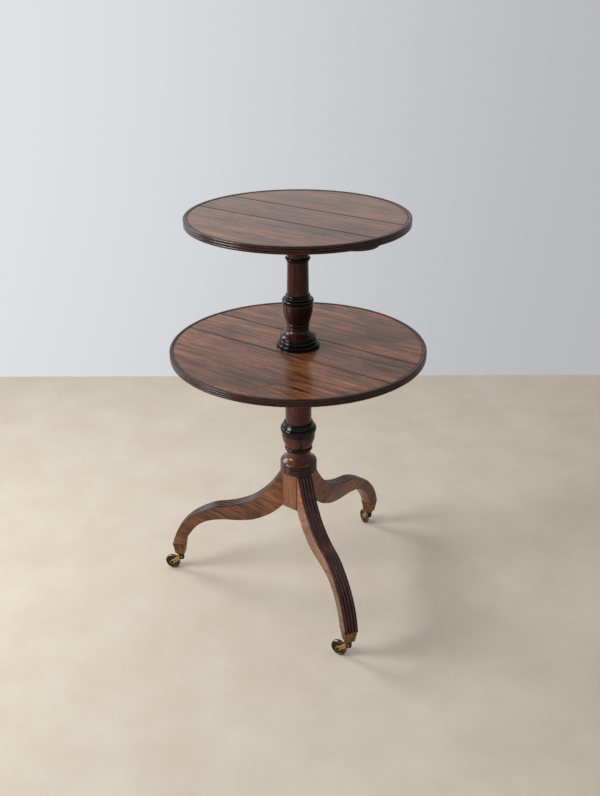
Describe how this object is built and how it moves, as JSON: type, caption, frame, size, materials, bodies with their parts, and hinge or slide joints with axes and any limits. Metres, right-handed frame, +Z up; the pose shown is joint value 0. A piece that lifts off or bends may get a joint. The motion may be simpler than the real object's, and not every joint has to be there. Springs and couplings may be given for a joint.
{
  "type": "dumbwaiter table",
  "caption": "Tiered round dumbwaiter table with drop leaves, swinging leaf rests, a turned column and splayed reeded legs on box castors.",
  "frame": {"origin": "centre of the bounding box, at floor level", "axes": "+Z up, +X along the leaf hinges, +Y towards the back leg"},
  "size_m": [0.6092, 0.6246, 0.95],
  "materials": {
    "top_mahogany": "waxed mahogany",
    "column_mahogany": "dark polished mahogany",
    "leg_mahogany": "polished mahogany",
    "bearer_mahogany": "dark mahogany",
    "brass": "aged, mottled",
    "hinge_brass": "aged",
    "wheel_brass": "dark, worn at the tread",
    "steel": "dull"
  },
  "bodies": {
    "stand": {"lower_column": "column_mahogany", "upper_column": "column_mahogany", "top_strip": "top_mahogany", "lower_strip": "top_mahogany", "top_plug": "bearer_mahogany", "top_back_left_fixed_flap": "hinge_brass", "top_back_left_hinge_pin": "steel", "top_back_right_fixed_flap": "hinge_brass", "top_back_right_hinge_pin": "steel", "top_front_left_fixed_flap": "hinge_brass", "top_front_left_hinge_pin": "steel", "top_front_right_fixed_flap": "hinge_brass", "top_front_right_hinge_pin": "steel", "lower_back_left_fixed_flap": "hinge_brass", "lower_back_left_hinge_pin": "steel", "lower_back_right_fixed_flap": "hinge_brass", "lower_back_right_hinge_pin": "steel", "lower_front_left_fixed_flap": "hinge_brass", "lower_front_left_hinge_pin": "steel", "lower_front_right_fixed_flap": "hinge_brass", "lower_front_right_hinge_pin": "steel", "back_leg": "leg_mahogany", "back_castor_cup": "brass", "back_castor_washer": "steel", "left_leg": "leg_mahogany", "left_castor_cup": "brass", "left_castor_washer": "steel", "front_leg": "leg_mahogany", "front_castor_cup": "brass", "front_castor_washer": "steel"},
    "top_back_leaf": {"top_back_leaf": "top_mahogany", "top_back_left_moving_flap": "hinge_brass", "top_back_right_moving_flap": "hinge_brass"},
    "top_front_leaf": {"top_front_leaf": "top_mahogany", "top_front_left_moving_flap": "hinge_brass", "top_front_right_moving_flap": "hinge_brass"},
    "lower_back_leaf": {"lower_back_leaf": "top_mahogany", "lower_back_left_moving_flap": "hinge_brass", "lower_back_right_moving_flap": "hinge_brass"},
    "lower_front_leaf": {"lower_front_leaf": "top_mahogany", "lower_front_left_moving_flap": "hinge_brass", "lower_front_right_moving_flap": "hinge_brass"},
    "top_bearer": {"top_bearer": "bearer_mahogany"},
    "lower_bearer": {"lower_bearer": "bearer_mahogany"},
    "back_castor": {"back_castor_fork": "brass", "back_castor_axle": "steel"},
    "back_wheel": {"back_castor_wheel": "wheel_brass"},
    "left_castor": {"left_castor_fork": "brass", "left_castor_axle": "steel"},
    "left_wheel": {"left_castor_wheel": "wheel_brass"},
    "front_castor": {"front_castor_fork": "brass", "front_castor_axle": "steel"},
    "front_wheel": {"front_castor_wheel": "wheel_brass"}
  },
  "joints": [
    {"name": "top_back_leaf_hinge", "type": "hinge", "parent": "stand", "child": "top_back_leaf", "pos_m": [0.0151, 0.03492, 0.933], "axis": [1, 0, 0], "range_deg": [-90, 0]},
    {"name": "top_front_leaf_hinge", "type": "hinge", "parent": "stand", "child": "top_front_leaf", "pos_m": [0.0151, -0.07809, 0.933], "axis": [-1, 0, 0], "range_deg": [-90, 0]},
    {"name": "lower_back_leaf_hinge", "type": "hinge", "parent": "stand", "child": "lower_back_leaf", "pos_m": [0.0151, 0.03492, 0.636], "axis": [1, 0, 0], "range_deg": [-90, 0]},
    {"name": "lower_front_leaf_hinge", "type": "hinge", "parent": "stand", "child": "lower_front_leaf", "pos_m": [0.0151, -0.07809, 0.636], "axis": [-1, 0, 0], "range_deg": [-90, 0]},
    {"name": "top_bearer_turn", "type": "hinge", "parent": "stand", "child": "top_bearer", "pos_m": [0.0151, -0.02159, 0.9087], "axis": [0, 0, 1], "range_deg": [0, 90]},
    {"name": "lower_bearer_turn", "type": "hinge", "parent": "stand", "child": "lower_bearer", "pos_m": [0.0151, -0.02159, 0.6117], "axis": [0, 0, 1], "range_deg": [0, 90]},
    {"name": "back_castor_swivel", "type": "hinge", "parent": "stand", "child": "back_castor", "pos_m": [0.03409, 0.28884, 0.053], "axis": [0, 0, 1], "continuous": true},
    {"name": "back_wheel_roll", "type": "hinge", "parent": "back_castor", "child": "back_wheel", "pos_m": [0.0133, 0.30084, 0.0195], "axis": [-0.5, -0.866, 0], "continuous": true},
    {"name": "left_castor_swivel", "type": "hinge", "parent": "stand", "child": "left_castor", "pos_m": [-0.26322, -0.16035, 0.053], "axis": [0, 0, 1], "continuous": true},
    {"name": "left_wheel_roll", "type": "hinge", "parent": "left_castor", "child": "left_wheel", "pos_m": [-0.28578, -0.16856, 0.0195], "axis": [0.342, -0.9397, 0], "continuous": true},
    {"name": "front_castor_swivel", "type": "hinge", "parent": "stand", "child": "front_castor", "pos_m": [0.27444, -0.19324, 0.053], "axis": [0, 0, 1], "continuous": true},
    {"name": "front_wheel_roll", "type": "hinge", "parent": "front_castor", "child": "front_wheel", "pos_m": [0.25045, -0.19407, 0.0195], "axis": [0.0349, -0.9994, 0], "continuous": true}
  ]
}
